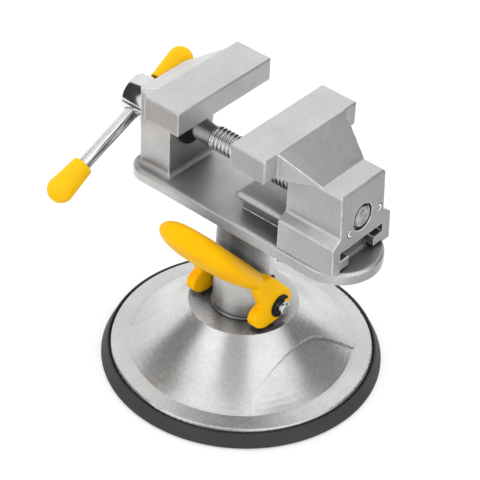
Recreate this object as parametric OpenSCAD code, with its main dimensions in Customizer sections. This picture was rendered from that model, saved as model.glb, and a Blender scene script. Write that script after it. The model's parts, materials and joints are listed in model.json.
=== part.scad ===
// Suction base vise: a rubber pad under a cast dome, a cam lever that pulls the
// pad up, and a small bench vise bed bolted to the dome's neck.
// +X points from the fixed jaw to the moving jaw, +Y runs along the jaws, +Z is up.
// The origin is on the neck's axis at the underside of the pad.

/* [View] */
// Piece to draw

/* [Rubber pad] */
// Diameter of the rubber pad on the bench
pad_d = 108; // [106:1:110]
// Height of the rubber bead around the metal rim
bead_h = 5.7; // [5.4:0.1:6]
// Width of the bead's rounded top
bead_top = 0.9; // [0.7:0.1:1.1]
// Open groove between the bead and the metal rim
bead_groove = 0.6; // [0.4:0.1:0.8]
// Thickness of the rubber under the metal rim
seat_t = 3.8; // [3.4:0.1:4]
// Thickness of the rubber membrane
web_t = 2.2; // [1.8:0.1:2.4]
// Diameter of the rubber disc that the stem is bonded to
hub_d = 26.6; // [25:0.2:28]

/* [Dome and neck] */
// Width of the rubber outside the metal rim
bead_w = 3.6; // [3.2:0.1:3.8]
// Height of the rim's outer edge
rim_z = 6.3; // [6.1:0.1:6.6]
// Width of the flat ring inside the rim
ring_w = 6.7; // [5.8:0.1:7.6]
// Rise of the flat ring from its outer to its inner edge
ring_rise = 0.7; // [0.4:0.1:1]
// Diameter of the flat collar that the cam runs on
collar_d = 42.2; // [41:0.2:44]
// Height of the collar
collar_z = 26.8; // [26:0.1:27.5]
// Hollow of the dome's curved flank, measured from the straight line
flank_sag = 2.4; // [1.8:0.1:2.8]
// Wall of the flank at its middle
flank_wall = 2.9; // [2.6:0.1:3.2]
// Neck diameter at the collar
neck_low_d = 24; // [23.4:0.2:24.4]
// Neck diameter under the bed
neck_top_d = 22; // [21.6:0.2:22.8]
// Height of the neck's top, where the bed sits
neck_z = 71.4; // [70:0.1:73]
// Bore of the neck, in which the stem slides
neck_bore_d = 13; // [12.6:0.1:13.2]
// Thickness of the web that the bed bolt clamps
neck_web = 5; // [4.5:0.1:6]
// Depth of the socket that takes the bed's spigot
socket_h = 8; // [7:0.5:9]
// Width of the slots for the pivot pin
slot_w = 8.8; // [8.4:0.1:9.2]
// Reach of the pin slots below the pin
slot_down = 4.5; // [4.2:0.1:4.8]
// Reach of the pin slots above the pin with the lever up
slot_up = 10.6; // [9.6:0.1:12]
// Sideways shift of the deeper flank under the two arches
scoop_shift = 1.2; // [0.8:0.1:1.4]
// Straight side of each arch, from the dome's axis
scoop_x = 26.6; // [25.6:0.1:27.6]
// Radius of each arch's turn towards the rim
scoop_turn_r = 20; // [18:0.5:22]

/* [Cam lever] */
// Radius of the cam on the collar with the lever up
cam_r = 6.7; // [6.5:0.1:7]
// Diameter of the pivot pin
pin_d = 5; // [4.8:0.1:5.2]
// Length of the pivot pin
pin_l = 41.2; // [40.8:0.2:42]
// Angle of the lever above the horizontal as it stands
lever_up = 48; // [46:1:50]
// Pull of the cam for one radian of the lever
cam_rate = 5.9; // [5.5:0.1:6]
// Distance between the lever's ears
ear_gap = 26.2; // [25.6:0.1:26.6]
// Thickness of one ear
ear_t = 4.1; // [3.8:0.1:4.6]
// Length of the lever from the pin to its tip
lever_l = 55.3; // [52:0.1:57]
// Overhang of the paddle's widest part beyond the ears
paddle_swell = 0.7; // [0.3:0.1:1.2]
// Thickness of the paddle
lever_t = 10.6; // [9:0.1:11]
// Outer diameter of the pin's clips
clip_d = 9.2; // [8.8:0.1:9.6]
// Thickness of the pin's clips
clip_t = 0.7; // [0.6:0.05:0.75]

/* [Stem and spring] */
// Diameter of the stem
stem_d = 12.8; // [12.4:0.1:12.8]
// Length of the stem above the pin's axis
stem_over = 6.5; // [6:0.5:7.5]
// Diameter of the stem's flange in the rubber
flange_d = 22; // [21:0.5:23]
// Thickness of the stem's flange
flange_t = 2; // [1.8:0.1:2.4]
// Mean diameter of the return spring
spring_d = 17.2; // [16.8:0.1:17.6]
// Wire diameter of the return spring
wire_d = 1.4; // [1.2:0.1:1.5]
// Working coils of the return spring
coils = 4; // [3:1:4]
// Thickness of the spring's washer
spring_seat_t = 0.8; // [0.6:0.1:1]

/* [Bed] */
// Width of the bed plate
bed_w = 33.2; // [32.6:0.2:34]
// Thickness of the bed plate
bed_t = 4.7; // [4.4:0.1:5]
// Round end of the bed plate on the moving-jaw side
bed_front_x = 58.3; // [56:0.1:60]
// End of the bed plate on the handle side
bed_back_x = 46.3; // [45:0.1:46.4]
// Corner radius at the handle side
bed_corner = 7.5; // [6:0.5:8]
// Rounding of the plate's top edge
bed_soft = 1.25; // [1:0.05:1.5]
// Start of the rail
rail_x = 1.7; // [1:0.1:3]
// Length of the rail
rail_l = 46.6; // [44:0.2:47]
// Fillet at the foot of the rail's end
rail_cove = 1.6; // [1:0.1:2]
// Width of the rail's web
rail_web_w = 13.8; // [13:0.1:13.9]
// Width of the rail's flange
rail_w = 20.6; // [20:0.1:21.4]
// Height of the rail above the bed plate
rail_rise = 8.5; // [8.2:0.1:8.8]
// Thickness of the rail's flange
rail_t = 2.9; // [2.6:0.1:3]
// Diameter of the bed's spigot in the neck
spigot_d = 13; // [12.6:0.1:13.2]

/* [Jaws] */
// Width of both jaws
jaw_w = 50; // [46:1:54]
// Top of both jaws above the screw's axis
jaw_rise = 24; // [22:0.5:27]
// Height of the jaw bars
bar_h = 9.7; // [9.2:0.1:10]
// Face of the fixed jaw, behind the neck's axis
fixed_face_x = 12.9; // [12:0.1:13.6]
// Face of the moving jaw, in front of the neck's axis
moving_face_x = 10.8; // [10:0.1:11.6]
// Thickness of the fixed jaw's bar
fixed_bar_t = 16.45; // [15.8:0.05:17]
// Thickness of the moving jaw's bar
moving_bar_t = 15.9; // [15.4:0.1:16.4]
// Rounding of the bars' edges
bar_soft = 0.8; // [0.5:0.1:1.2]
// Width of the fixed jaw's stand and of the moving jaw's block
stand_w = 24; // [23.6:0.2:24.6]
// Back of the fixed jaw's stand
stand_back_x = 42.7; // [42.2:0.1:43]
// Front of the fixed jaw's stand
stand_front_x = 28.4; // [28:0.1:28.8]
// Fillet at the stand's foot
stand_cove = 1.8; // [1.4:0.1:2.2]
// Width of the ribs behind the bars, where they meet the bars
rib_w = 36.2; // [34:0.2:38]
// Fall of the fixed jaw's rib
fixed_rib_fall = 9; // [8:0.1:9.4]
// End of the moving jaw's block
block_end_x = 50.6; // [50:0.1:51]
// Length of the moving jaw's sloped rib
rib_l = 14.8; // [14:0.1:16]
// Outward lean of the block's end face at its foot
block_draft = 1.4; // [1:0.1:1.8]
// Rounding of the block's top edges
block_soft = 1; // [0.6:0.1:1.2]
// Drop from the bars' lower edge to the top of the moving jaw's block
block_drop = 0.5; // [0.2:0.1:0.7]
// Width over the block's lower skirt
skirt_w = 32.2; // [31.6:0.2:32.8]
// Height of the step between block and skirt above the rail
shoulder_rise = 6; // [5.4:0.1:6.8]
// Fall of the step's slope
shoulder_fall = 2.5; // [2:0.1:3]
// Rounding at both ends of the step's slope
shoulder_soft = 1.8; // [1:0.1:2]
// Gap between the skirt and the bed plate
skirt_gap = 0.3; // [0.2:0.05:0.6]
// Width of the T slot around the rail's flange
tee_w = 24; // [23.4:0.2:24.6]
// Gap between the hooks that hold the block on the rail
hook_gap_w = 14.2; // [14:0.05:14.6]
// Gap between the hooks and the bed plate
hook_lift = 1.4; // [0.9:0.1:1.9]
// Gap between the hooks and the rail's flange
hook_play = 0.6; // [0.4:0.1:1]

/* [Screw and handle] */
// Height of the screw's axis above the rail
screw_rise = 9.4; // [9:0.1:10]
// Thread diameter of the screw
screw_d = 9.4; // [9:0.1:9.6]
// Smooth neck of the screw behind the thread
screw_neck_d = 8.6; // [8.2:0.1:8.8]
// Start of the thread, behind the neck's axis
thread_x = 20.7; // [20:0.1:21.5]
// Free end of the screw
screw_end_x = 51.2; // [50.8:0.1:51.4]
// Diameter of the screw's head
head_d = 16.5; // [16:0.1:17]
// Outer end of the head
head_x = 56.9; // [56.6:0.1:57.4]
// Thickness of the thrust washer
thrust_t = 1; // [0.8:0.1:1.2]
// Outer diameter of the ring that keeps the screw in the stand
ring_clip_d = 15.4; // [15:0.1:15.8]
// Thickness of that ring
ring_clip_t = 1; // [0.8:0.1:1.2]
// Position of the handle's hole in the head
bar_x = 51.8; // [51.6:0.1:52]
// Angle of the handle above the horizontal
bar_tilt = 22.2; // [20:0.1:25]
// Diameter of the handle rod
rod_d = 5.35; // [5.2:0.05:5.5]
// Length of a handle cap
cap_l = 17.4; // [17:0.1:18]
// Diameter of a handle cap at its widest
cap_d = 10.2; // [9.8:0.1:10.4]
// Diameter of a handle cap at its mouth
cap_mouth_d = 8.1; // [7.8:0.1:8.6]
// Free length of the rod between its caps
rod_free = 44; // [42:0.1:46]

/* [Clearances] */
// Radial clearance of turning and sliding fits
run_gap = 0.05; // [0.02:0.01:0.08]
// Clearance between faces that pass each other
pass_gap = 0.2; // [0.1:0.05:0.3]
// Clearance between rounds that never touch
free_gap = 0.3; // [0.3:0.05:0.5]

/* [Hidden] */
$fn = 64;

over = 1;
soft_steps = 6;
arc_steps = 16;
round_fn = 160;

rubber = [0.16, 0.16, 0.17];
casting = [0.74, 0.75, 0.76];
steel = [0.6, 0.61, 0.63];
bright = [0.85, 0.86, 0.88];
black = [0.07, 0.07, 0.07];
yellow = [1, 0.72, 0.05];

pad_r = pad_d / 2;
rim_r = pad_r - bead_w;
ring_r = rim_r - ring_w;
ring_z = rim_z + ring_rise;
bead_in_r = rim_r + bead_groove;
bead_top_r = bead_in_r + bead_top;
bead_foot = 1;
hub_r = hub_d / 2;
rim_soft = 1;

// Dome: the flank is an arc through the ring's inner edge and the collar's edge.
collar_r = collar_d / 2;
collar_soft = 0.7;
flank_run = ring_r - collar_r;
flank_rise = collar_z - ring_z;
flank_chord = sqrt(flank_run * flank_run + flank_rise * flank_rise);
flank_lean = atan2(flank_rise, flank_run);
flank_mid = [(ring_r + collar_r) / 2, (ring_z + collar_z) / 2];
flank_steps = 12;
function flank_pt(t, sag) = let (
        r = flank_chord * flank_chord / (8 * sag) + sag / 2,
        c = flank_mid + (r - sag) * [sin(flank_lean), cos(flank_lean)],
        half_a = asin(flank_chord / 2 / r),
        a = 270 - flank_lean + half_a - t * 2 * half_a
    ) c + r * [cos(a), sin(a)];

// Hollow under the flank, kept parallel to the flank's chord.
hollow_drop = flank_wall + flank_sag;
hollow_shift = hollow_drop * [-sin(flank_lean), -cos(flank_lean)];
crown_t = 4;
ceiling_z = collar_z - crown_t;
function hollow_r(z) = ring_r + hollow_shift[0]
    - (z - ring_z - hollow_shift[1]) * flank_run / flank_rise;
hollow_low_r = hollow_r(seat_t);
hollow_top_r = hollow_r(ceiling_z);

neck_low_r = neck_low_d / 2;
neck_top_r = neck_top_d / 2;
neck_cove = 0.3;
neck_bore_r = neck_bore_d / 2;
socket_z = neck_z - socket_h;
web_z = socket_z - neck_web;
slot_r = slot_w / 2;
bolt_d = 6;
bolt_head_d = 10;
bolt_head_h = 6;
bolt_key_w = 5;
bolt_key_h = 3;
bolt_r = bolt_d / 2;
bolt_washer_d = 11;
bolt_washer_t = 1.6;

// Arches: seen from above, a straight side that turns outwards to the rim.
scoop_y = 8;
scoop_side = 47;
scoop_lip = 0.05;
scoop_ease = 0.15;

// Lever: drawn lying flat, then raised about the pin.
pivot_z = collar_z + cam_r;
boss_swell = 0.4;
pin_r = pin_d / 2;
cam_throw = cam_rate * lever_up * PI / 180;
cam_steps = 12;
ear_in = ear_gap / 2;
ear_out = ear_in + ear_t;
lever_w = 2 * (ear_out + paddle_swell);
slot_low_z = pivot_z - slot_down;
slot_top_z = pivot_z + slot_up;
boss_r = cam_r + boss_swell;
boss_c = boss_swell * [sin(lever_up), cos(lever_up)];
lobe_r = 4.2;
lobe_reach = 0.3;
arm_c = [14, 2.7];
arm_r = 4.8;
paddle_steps = 24;
root_u = 10;
root_w_share = 0.92;
tip_w_share = 0.95;
root_t_share = 0.72;
tip_t_share = 0.95;
root_h = 3.8;
belly_h = 2;
tip_h = 3.1;
tip_blunt = 7.9;
tip_round = 0.38;
side_blunt = 2.8;
end_steps = 16;
end_spread = 0.6;
neck_room = 0.6;

// Pin clips
clip_r = clip_d / 2;
clip_bite = 0.5;
clip_groove_r = pin_r - clip_bite;
clip_x = ear_out + 2 * run_gap;
clip_play = 0.35;
clip_arm_r = pin_r + clip_play;
clip_mouth = 3.6;
clip_lug_w = 1.6;
clip_edge = 0.4;
pin_chamfer = 0.4;

stem_r = stem_d / 2;
stem_soft = 0.8;
stem_top_z = pivot_z + stem_over;
flange_r = flange_d / 2;
flange_z = web_t + flange_t;
spring_r = spring_d / 2;
wire_r = wire_d / 2;
wire_bend = 0.05;
seat_z = ceiling_z - spring_seat_t;
spring_low = flange_z + wire_r + wire_bend;
spring_top = seat_z - wire_r - wire_bend;
turn_rise = (spring_top - spring_low) / coils;
coil_tilt = asin(turn_rise / 2 / spring_d);
seat_in_r = spring_r - wire_d;
seat_out_r = spring_r + wire_d;

bed_z = neck_z + bed_t;
rail_z = bed_z + rail_rise;
screw_z = rail_z + screw_rise;
jaw_z = screw_z + jaw_rise;
bed_r = bed_w / 2;
bed_front_c = bed_front_x - bed_r;
rail_end_x = rail_x + rail_l;
rail_low_z = rail_z - rail_t;
rail_inset = 0.05;
spigot_r = spigot_d / 2;
spigot_cut = 1.2;
spigot_flat = spigot_r - spigot_cut;
spigot_gap = run_gap;
bolt_tip = 2.4;
bolt_hole_h = socket_h - pass_gap + bolt_tip;

bar_low_z = jaw_z - bar_h;
block_z = bar_low_z - block_drop;
shoulder_z = rail_z + shoulder_rise;
hook_low_z = bed_z + hook_lift;
hook_top_z = rail_low_z - hook_play;
half_jaw = jaw_w / 2;
half_stand = stand_w / 2;
half_rib = rib_w / 2;
fixed_back_x = fixed_face_x + fixed_bar_t;
moving_back_x = moving_face_x + moving_bar_t;
rib_sink = 0.2;
rib_drop = 0.05;
rib_lap = bar_soft / 2;
rib_end_half = half_stand - block_soft / 2;
rib_low_z = block_z - rib_sink;
skirt_low_z = bed_z + skirt_gap;
half_skirt = skirt_w / 2;
half_tee = tee_w / 2;
half_hook = hook_gap_w / 2;
tee_top_z = rail_z + pass_gap;
shoulder_low_z = shoulder_z - shoulder_fall;

screw_r = screw_d / 2;
neck_r = screw_neck_d / 2;
journal_r = screw_r + run_gap;
stand_bore_r = journal_r + run_gap;
head_r = head_d / 2;
head_soft = 0.8;
head_in_x = stand_back_x + thrust_t;
clip_seat_x = stand_front_x - run_gap;
ring_groove_r = neck_r - clip_bite;
ring_out_r = ring_clip_d / 2;
ring_mouth_share = 0.8;
ring_mouth = 2 * ring_groove_r * ring_mouth_share;
screw_soft = 0.6;
mouth_play = 0.6;
mouth_r = screw_r + mouth_play;
mouth_h = 1.6;

rod_r = rod_d / 2;
bar_hole_r = rod_r + 2 * run_gap;
cap_r = cap_d / 2;
cap_mouth_r = cap_mouth_d / 2;
cap_end_t = 4;
cap_bore_l = cap_l - cap_end_t;
cap_far_u = head_r + run_gap;
cap_near_u = cap_far_u - rod_free;
rod_low_u = cap_near_u - cap_bore_l + pass_gap;
rod_top_u = cap_far_u + cap_bore_l - pass_gap;
cap_flare_l = cap_l - cap_r;

// Cylinder along +X from x0 to x1.
module rod_x(x0, x1, r) {
    translate([x0, 0, 0])
        rotate([0, 90, 0])
            cylinder(h = x1 - x0, r = r);
}

// Box from one corner to the opposite corner.
module block(a, b) {
    translate(a)
        cube(b - a);
}

function arc_pts(c, r, from, to, steps = arc_steps) =
    [for (i = [0 : steps]) let (a = from + (to - from) * i / steps)
        c + r * [cos(a), sin(a)]];

// Rectangle from one corner to the opposite corner, with round corners.
function soft_rect(a, b, s) = concat(
    arc_pts([b[0] - s, a[1] + s], s, -90, 0, soft_steps),
    arc_pts(b - [s, s], s, 0, 90, soft_steps),
    arc_pts([a[0] + s, b[1] - s], s, 90, 180, soft_steps),
    arc_pts(a + [s, s], s, 180, 270, soft_steps));

// Box with every edge rounded: the overlap of three rounded prisms.
module soft_block(a, b, s) {
    size = b - a;
    intersection() {
        translate([0, 0, a[2] - over])
            linear_extrude(height = size[2] + 2 * over)
                polygon(soft_rect([a[0], a[1]], [b[0], b[1]], s));
        translate([a[0] - over, 0, 0])
            rotate([90, 0, 90])
                linear_extrude(height = size[0] + 2 * over)
                    polygon(soft_rect([a[1], a[2]], [b[1], b[2]], s));
        translate([0, b[1] + over, 0])
            rotate([90, 0, 0])
                linear_extrude(height = size[1] + 2 * over)
                    polygon(soft_rect([a[0], a[2]], [b[0], b[2]], s));
    }
}

// Prism of a side view given as [x, z] points, centred on the XZ plane.
module side_prism(points, width) {
    translate([0, width / 2, 0])
        rotate([90, 0, 0])
            linear_extrude(height = width)
                polygon(points);
}

module suction_pad() {
    shoulder = bead_top / 2;
    color(rubber)
        rotate_extrude($fn = round_fn)
            union() {
                polygon([
                    [hub_r + free_gap, 0],
                    [pad_r - bead_foot / 2, 0],
                    [pad_r, bead_foot / 2],
                    [pad_r, bead_foot],
                    [bead_top_r, bead_h - shoulder],
                    [bead_in_r, bead_h - shoulder],
                    [bead_in_r, seat_t],
                    [hollow_low_r + free_gap, seat_t],
                    [hollow_low_r - seat_t, web_t],
                    [hub_r + free_gap, web_t]
                ]);
                translate([bead_in_r + shoulder, bead_h - shoulder])
                    circle(r = shoulder, $fn = 24);
            }
}

module pad_hub() {
    color(rubber)
        cylinder(h = web_t, r = hub_r, $fn = 96);
}

module pull_stem() {
    color(steel)
        difference() {
            union() {
                translate([0, 0, web_t])
                    cylinder(h = flange_t, r = flange_r);
                translate([0, 0, web_t])
                    cylinder(h = stem_top_z - web_t - stem_soft, r = stem_r);
                translate([0, 0, stem_top_z - stem_soft])
                    cylinder(h = stem_soft, r1 = stem_r, r2 = stem_r - stem_soft);
            }
            translate([0, 0, pivot_z])
                rod_x(-stem_d, stem_d, pin_r + run_gap);
        }
}

// The spring is built from half turns, each one tilted so that it climbs.
module return_spring() {
    color(steel)
        for (i = [0 : 2 * coils - 1])
            translate([0, 0, spring_low + (i + 1 / 2) * turn_rise / 2])
                rotate([0, 0, 180 * i])
                    rotate([0, -coil_tilt, 0])
                        mirror([1, 0, 0]) {
                            rotate_extrude(angle = 180, $fn = 72)
                                translate([spring_r, 0])
                                    circle(r = wire_r, $fn = 24);
                            for (x = [-spring_r, spring_r])
                                translate([x, 0, 0])
                                    sphere(r = wire_r + wire_bend, $fn = 24);
                        }
}

module spring_washer() {
    color(steel)
        translate([0, 0, seat_z])
            difference() {
                cylinder(h = spring_seat_t, r = seat_out_r);
                translate([0, 0, -over])
                    cylinder(h = spring_seat_t + 2 * over, r = seat_in_r);
            }
}

module flank_body() {
    polygon(concat(
        [[0, seat_t], [rim_r, seat_t], [rim_r, rim_z - rim_soft],
            [rim_r - rim_soft, rim_z]],
        [for (i = [0 : flank_steps]) flank_pt(i / flank_steps, flank_sag)],
        [[0, collar_z]]
    ));
}

// What one arch takes from the flank: all that lies outside the arch's curve and
// above the flank's own form pushed sideways.
module scoop() {
    foot_z = ring_z + scoop_lip;
    difference() {
        translate([0, 0, foot_z])
            linear_extrude(height = flank_rise) {
                translate([scoop_x, -pad_r])
                    square([pad_r, pad_r + scoop_y]);
                translate([scoop_x + scoop_turn_r, scoop_y])
                    circle(r = scoop_turn_r + scoop_ease, $fn = round_fn);
            }
        translate(-scoop_shift * [cos(scoop_side), sin(scoop_side), 0])
            rotate_extrude($fn = round_fn)
                polygon(concat(
                    [[0, 0], [pad_d, 0], [pad_d, ring_z], [ring_r, ring_z]],
                    [for (i = [1 : flank_steps]) flank_pt(i / flank_steps, flank_sag)],
                    [[0, collar_z]]
                ));
    }
}

module base_dome() {
    color(casting)
        difference() {
            union() {
                rotate_extrude($fn = round_fn) {
                    flank_body();
                    translate([rim_r - rim_soft, rim_z - rim_soft])
                        circle(r = rim_soft, $fn = 32);
                    polygon([
                        [0, collar_z],
                        [neck_low_r + neck_cove, collar_z],
                        [neck_low_r, collar_z + neck_cove],
                        [neck_top_r, neck_z],
                        [0, neck_z]
                    ]);
                }
            }
            for (a = [0, 180])
                rotate([0, 0, a])
                    scoop();
            // hollow for the membrane
            translate([0, 0, seat_t - over])
                cylinder(h = over, r = hollow_low_r, $fn = round_fn);
            translate([0, 0, seat_t])
                cylinder(h = ceiling_z - seat_t, r1 = hollow_low_r, r2 = hollow_top_r,
                    $fn = round_fn);
            // stem bore
            translate([0, 0, seat_t])
                cylinder(h = web_z - seat_t, r = neck_bore_r);
            // socket for the bed's spigot, with a flat that stops the bed turning
            translate([0, 0, socket_z])
                intersection() {
                    cylinder(h = socket_h + over, r = spigot_r + spigot_gap);
                    block([-spigot_d, -spigot_d, -over],
                        [spigot_flat + spigot_gap, spigot_d, socket_h + 2 * over]);
                }
            translate([0, 0, web_z - over])
                cylinder(h = neck_web + 2 * over, r = bolt_r + free_gap);
            // pin slots
            for (z = [slot_low_z + slot_r, slot_top_z - slot_r])
                translate([0, 0, z])
                    rod_x(-neck_low_d, neck_low_d, slot_r);
            block([-neck_low_d, -slot_r, slot_low_z + slot_r],
                [neck_low_d, slot_r, slot_top_z - slot_r]);
        }
}

module pivot_pin() {
    half = pin_l / 2;
    color(bright)
        translate([0, 0, pivot_z])
            difference() {
                union() {
                    rod_x(-half + pin_chamfer, half - pin_chamfer, pin_r);
                    for (s = [-1, 1])
                        scale([s, 1, 1])
                            translate([half - pin_chamfer, 0, 0])
                                rotate([0, 90, 0])
                                    cylinder(h = pin_chamfer, r1 = pin_r,
                                        r2 = pin_r - pin_chamfer);
                }
                for (s = [-1, 1])
                    scale([s, 1, 1])
                        translate([clip_x, 0, 0])
                            rotate([0, 90, 0])
                                difference() {
                                    cylinder(h = clip_t + run_gap, r = pin_d);
                                    translate([0, 0, -over])
                                        cylinder(h = clip_t + 2 * over, r = clip_groove_r);
                                }
            }
}

// Spring clip: a ring open on one side with three lugs that reach into the groove.
module pin_clip() {
    translate([clip_x, 0, pivot_z])
        rotate([90, 0, 90])
            linear_extrude(height = clip_t)
                difference() {
                    union() {
                        difference() {
                            circle(r = clip_r);
                            circle(r = clip_arm_r);
                        }
                        for (a = [60 : 120 : 300])
                            rotate([0, 0, a])
                                translate([clip_groove_r, -clip_lug_w / 2])
                                    square([clip_r - clip_groove_r - clip_edge, clip_lug_w]);
                    }
                    circle(r = clip_groove_r + run_gap);
                    translate([0, -clip_mouth / 2])
                        square([clip_d, clip_mouth]);
                }
}

module clip_right() {
    color(black)
        pin_clip();
}

module clip_left() {
    color(black)
        mirror([1, 0, 0])
            pin_clip();
}

// Cam outline: an involute, so that it touches the collar at one constant offset.
function cam_h(a) = cam_r + cam_rate * a * PI / 180;
function cam_pt(a) = [cam_h(a) * sin(a) + cam_rate * cos(a),
    cam_rate * sin(a) - cam_h(a) * cos(a)];
function turned(c) = atan2(c[1], c[0]);
function spread(r, c) = acos((boss_r - r) / norm(c));

// Ear seen from its side: boss and cam with its lobe, and the arm to the paddle.
module cam_outline() {
    tip = cam_pt(lever_up) + lobe_reach * [cos(lever_up), sin(lever_up)];
    lobe_c = tip + lobe_r * [-sin(lever_up), cos(lever_up)];
    lobe_a = turned(lobe_c) + spread(lobe_r, lobe_c);
    arm_low_a = turned(arm_c) - spread(arm_r, arm_c);
    arm_top_a = turned(arm_c) + spread(arm_r, arm_c);
    rotate([0, 0, -lever_up])
        polygon(concat(
            [[0, 0], [0, -cam_r]],
            [for (i = [1 : cam_steps]) cam_pt(i * lever_up / cam_steps)],
            arc_pts(lobe_c, lobe_r, lever_up - 90, lobe_a),
            [boss_r * [cos(lobe_a), sin(lobe_a)]]
        ));
    polygon(concat(
        arc_pts(boss_c, boss_r, arm_top_a, arm_low_a + 360),
        arc_pts(arm_c, arm_r, arm_low_a, arm_top_a)
    ));
}

// Smooth run through three values at the root, the middle and the tip.
function run(t, a, b, c) =
    a * (1 - t) * (1 - 2 * t) + 4 * b * t * (1 - t) + c * t * (2 * t - 1);
function paddle_t(i) = 1 - pow(1 - i / paddle_steps, 2);
function paddle_u(t) = root_u + t * (lever_l - root_u);
function tip_fade(t) = pow(1 - pow(t, tip_blunt), tip_round);
function paddle_half_w(t) = run(t, root_w_share, 1, tip_w_share) * lever_w / 2 * tip_fade(t);
function paddle_half_t(t) = run(t, root_t_share, 1, tip_t_share) * lever_t / 2 * sqrt(tip_fade(t));
function paddle_h(t) = run(t, root_h, belly_h, tip_h);

module paddle_side() {
    polygon(concat(
        [for (i = [0 : paddle_steps]) let (t = paddle_t(i))
            [paddle_u(t), paddle_h(t) - paddle_half_t(t)]],
        [for (i = [1 : paddle_steps]) let (t = paddle_t(paddle_steps - i))
            [paddle_u(t), paddle_h(t) + paddle_half_t(t)]]
    ));
}

module paddle_plan() {
    polygon(concat(
        [for (i = [0 : paddle_steps]) let (t = paddle_t(i))
            [paddle_u(t), -paddle_half_w(t)]],
        [for (i = [1 : paddle_steps]) let (t = paddle_t(paddle_steps - i))
            [paddle_u(t), paddle_half_w(t)]]
    ));
}

// Paddle seen from its end: flat in the middle, round at both sides.
module paddle_end() {
    half_h = lever_t / 2 + end_spread;
    translate([0, belly_h + end_spread])
        polygon([for (i = [0 : 4 * end_steps - 1])
            let (a = 90 * (i + 1 / 2) / end_steps)
            [lever_w / 2 * sign(cos(a)) * pow(abs(cos(a)), 2 / side_blunt),
                half_h * sin(a)]]);
}

module suction_lever() {
    color(yellow)
        translate([0, 0, pivot_z])
            rotate([-lever_up, 0, 0])
                difference() {
                    union() {
                        // ears
                        for (x = [-ear_out, ear_in])
                            translate([x, 0, 0])
                                rotate([90, 0, 90])
                                    linear_extrude(height = ear_t)
                                        mirror([1, 0])
                                            cam_outline();
                        // paddle
                        intersection() {
                            translate([-lever_w, 0, 0])
                                rotate([90, 0, 90])
                                    linear_extrude(height = 2 * lever_w)
                                        mirror([1, 0])
                                            paddle_side();
                            translate([0, 0, -lever_l])
                                rotate([0, 0, -90])
                                    linear_extrude(height = 2 * lever_l)
                                        paddle_plan();
                            rotate([90, 0, 0])
                                linear_extrude(height = lever_l + over)
                                    paddle_end();
                        }
                    }
                    // room for the neck, which stands upright between the ears
                    rotate([lever_up, 0, 0])
                        translate([0, 0, -cam_r])
                            cylinder(h = lever_l, r = neck_low_r + neck_room, $fn = 96);
                    // pin holes
                    rod_x(-ear_out - over, ear_out + over, pin_r + run_gap);
                }
}

// Section of the plate from a centre line out to its round top edge.
function plate_section(reach) = concat(
    [[0, neck_z], [reach, neck_z]],
    arc_pts([reach - bed_soft, bed_z - bed_soft], bed_soft, 0, 90, soft_steps),
    [[0, bed_z]]);

module bed_plate() {
    corner = [bed_corner - bed_back_x, bed_r - bed_corner];
    // round end
    translate([bed_front_c, 0, 0])
        rotate([0, 0, -90])
            rotate_extrude(angle = 180, $fn = round_fn)
                polygon(plate_section(bed_r));
    // straight sides
    for (s = [0, 1])
        mirror([0, s, 0])
            translate([corner[0], 0, 0])
                rotate([90, 0, 90])
                    linear_extrude(height = bed_front_c - corner[0])
                        polygon(plate_section(bed_r));
    // straight end and its two round corners
    translate([corner[0], corner[1], 0])
        rotate([90, 0, 0])
            linear_extrude(height = 2 * corner[1])
                mirror([1, 0])
                    polygon(plate_section(bed_corner));
    for (s = [0, 1])
        mirror([0, s, 0])
            translate([corner[0], corner[1], 0])
                rotate([0, 0, 90])
                    rotate_extrude(angle = 90, $fn = round_fn)
                        polygon(plate_section(bed_corner));
}

module rail() {
    half_web = rail_web_w / 2;
    half_rail = rail_w / 2;
    lip_r = rail_t / 2;
    block([rail_x + lip_r, -half_web, bed_z - over], [rail_end_x, half_web, rail_z - lip_r]);
    block([rail_x + lip_r, -half_rail + lip_r, rail_low_z],
        [rail_end_x, half_rail - lip_r, rail_z]);
    for (s = [-1, 1]) {
        translate([0, s * (half_rail - lip_r), rail_z - lip_r])
            rod_x(rail_x + lip_r, rail_end_x, lip_r);
        translate([rail_x + lip_r, s * (half_rail - lip_r), rail_z - lip_r])
            sphere(r = lip_r, $fn = 32);
    }
    translate([rail_x + lip_r, -half_rail + lip_r, rail_z - lip_r])
        rotate([-90, 0, 0])
            cylinder(h = rail_w - rail_t, r = lip_r, $fn = 32);
    // fillet at the foot of the end face
    difference() {
        block([rail_end_x - over, -half_web + rail_inset, bed_z - over],
            [rail_end_x + rail_cove, half_web - rail_inset, bed_z + rail_cove]);
        translate([rail_end_x + rail_cove, -rail_w, bed_z + rail_cove])
            rotate([-90, 0, 0])
                cylinder(h = 2 * rail_w, r = rail_cove, $fn = 32);
    }
}

module stand_foot() {
    r = stand_cove;
    difference() {
        block([-stand_back_x, -half_stand - r, bed_z - over],
            [-stand_front_x + r, half_stand + r, bed_z + r]);
        for (s = [-1, 1])
            translate([-stand_back_x - over, s * (half_stand + r), bed_z + r])
                rotate([0, 90, 0])
                    cylinder(h = stand_back_x - stand_front_x + 2 * r + 2 * over, r = r,
                        $fn = 32);
        translate([-stand_front_x + r, -half_stand - 2 * r, bed_z + r])
            rotate([-90, 0, 0])
                cylinder(h = stand_w + 4 * r, r = r, $fn = 32);
    }
}

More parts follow.
